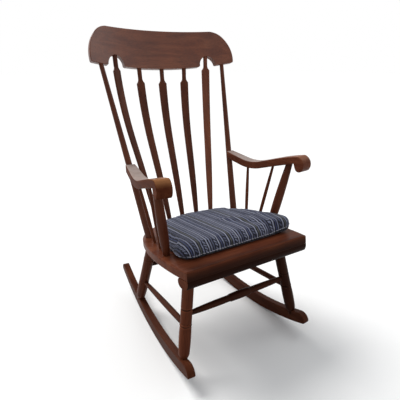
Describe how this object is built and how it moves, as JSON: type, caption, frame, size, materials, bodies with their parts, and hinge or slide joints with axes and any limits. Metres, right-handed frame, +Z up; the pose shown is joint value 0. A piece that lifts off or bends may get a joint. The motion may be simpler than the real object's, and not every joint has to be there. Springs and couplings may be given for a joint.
{
  "type": "rocking chair",
  "caption": "Turned wooden rocking chair with curved crest rail, flat bowed back spindles, scrolled arms, solid seat with rolled front, and a loose striped cushion.",
  "frame": {"origin": "on the floor, below the middle of the chair's footprint", "axes": "+Z up, front of the chair towards -Y, width along X"},
  "size_m": [0.6342, 0.7388, 1.1539],
  "materials": {
    "stained_wood": "satin lacquer over a dark red-brown stain",
    "cushion_cloth": "woven stripe"
  },
  "bodies": {
    "chair": {"seat_board": "stained_wood", "seat_front_roll": "stained_wood", "crest_rail": "stained_wood", "back_post_left": "stained_wood", "back_post_right": "stained_wood", "back_spindle_1": "stained_wood", "back_spindle_2": "stained_wood", "back_spindle_3": "stained_wood", "back_spindle_4": "stained_wood", "back_spindle_5": "stained_wood", "arm_left": "stained_wood", "arm_right": "stained_wood", "arm_post_left": "stained_wood", "arm_post_right": "stained_wood", "arm_spindle_front_left": "stained_wood", "arm_spindle_front_right": "stained_wood", "arm_spindle_rear_left": "stained_wood", "arm_spindle_rear_right": "stained_wood", "leg_front_left": "stained_wood", "leg_front_right": "stained_wood", "leg_rear_left": "stained_wood", "leg_rear_right": "stained_wood", "side_stretcher_left": "stained_wood", "side_stretcher_right": "stained_wood", "front_stretcher": "stained_wood", "rear_stretcher": "stained_wood", "rocker_left": "stained_wood", "rocker_right": "stained_wood"},
    "cushion": {"seat_cushion": "cushion_cloth"}
  },
  "joints": [
    {"name": "cushion_lift", "type": "slide", "parent": "chair", "child": "cushion", "axis": [0, 0, 1], "range_m": [0, 0.3]}
  ]
}
